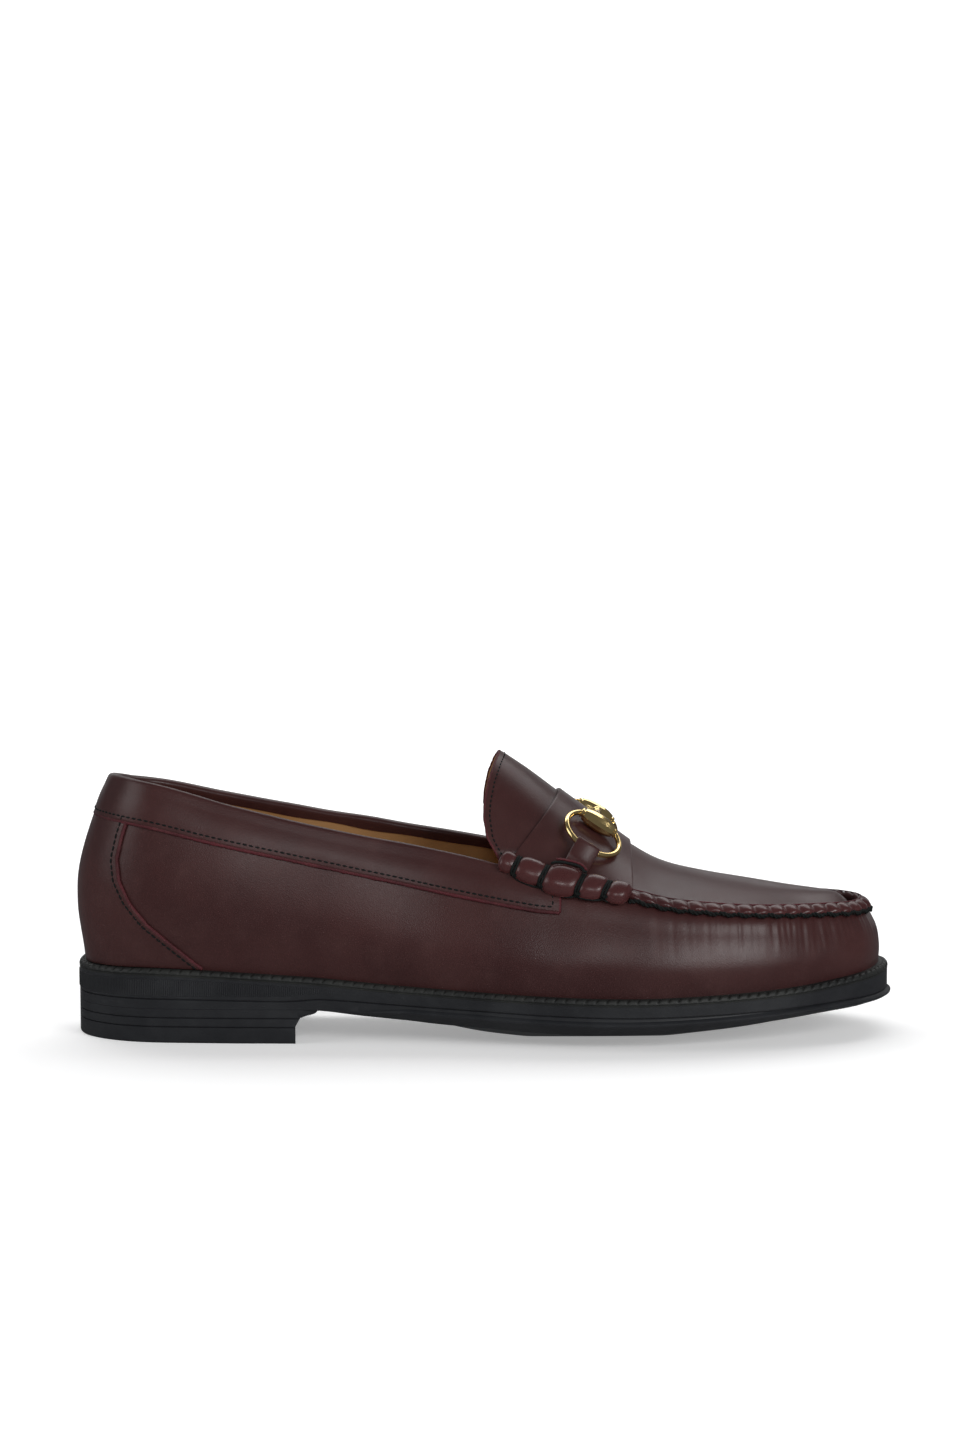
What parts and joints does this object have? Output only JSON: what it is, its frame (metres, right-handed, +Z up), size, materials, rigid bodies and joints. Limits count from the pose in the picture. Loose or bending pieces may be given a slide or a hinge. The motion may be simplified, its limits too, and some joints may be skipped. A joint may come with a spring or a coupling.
{
  "type": "bit loafer",
  "caption": "Right slip-on shoe: hollow leather upper with a folded collar, tongue, saddle strap, apron seam and horse-bit trim, on a welted rubber sole with a low heel.",
  "frame": {"origin": "on the floor plane, under the middle of the bounding box of the standing shoe", "axes": "+X from the heel to the toe, +Y towards the medial (inner) side, +Z up from the floor"},
  "size_m": [0.3008, 0.1082, 0.1032],
  "materials": {
    "leather": "polished",
    "lining": "matte",
    "rubber": "satin",
    "gilt_metal": "polished"
  },
  "bodies": {
    "root": {"outsole": "rubber", "heel": "rubber", "welt": "rubber", "insole": "lining", "upper": "leather", "tongue": "leather", "collar": "leather", "counter": "leather", "saddle": "leather", "apron_seam": "leather", "roll_lateral": "leather", "tab_lateral": "leather", "ring_lateral": "gilt_metal", "barrel_lateral": "gilt_metal", "roll_medial": "leather", "tab_medial": "leather", "ring_medial": "gilt_metal", "barrel_medial": "gilt_metal", "bit_link": "gilt_metal"}
  },
  "joints": []
}
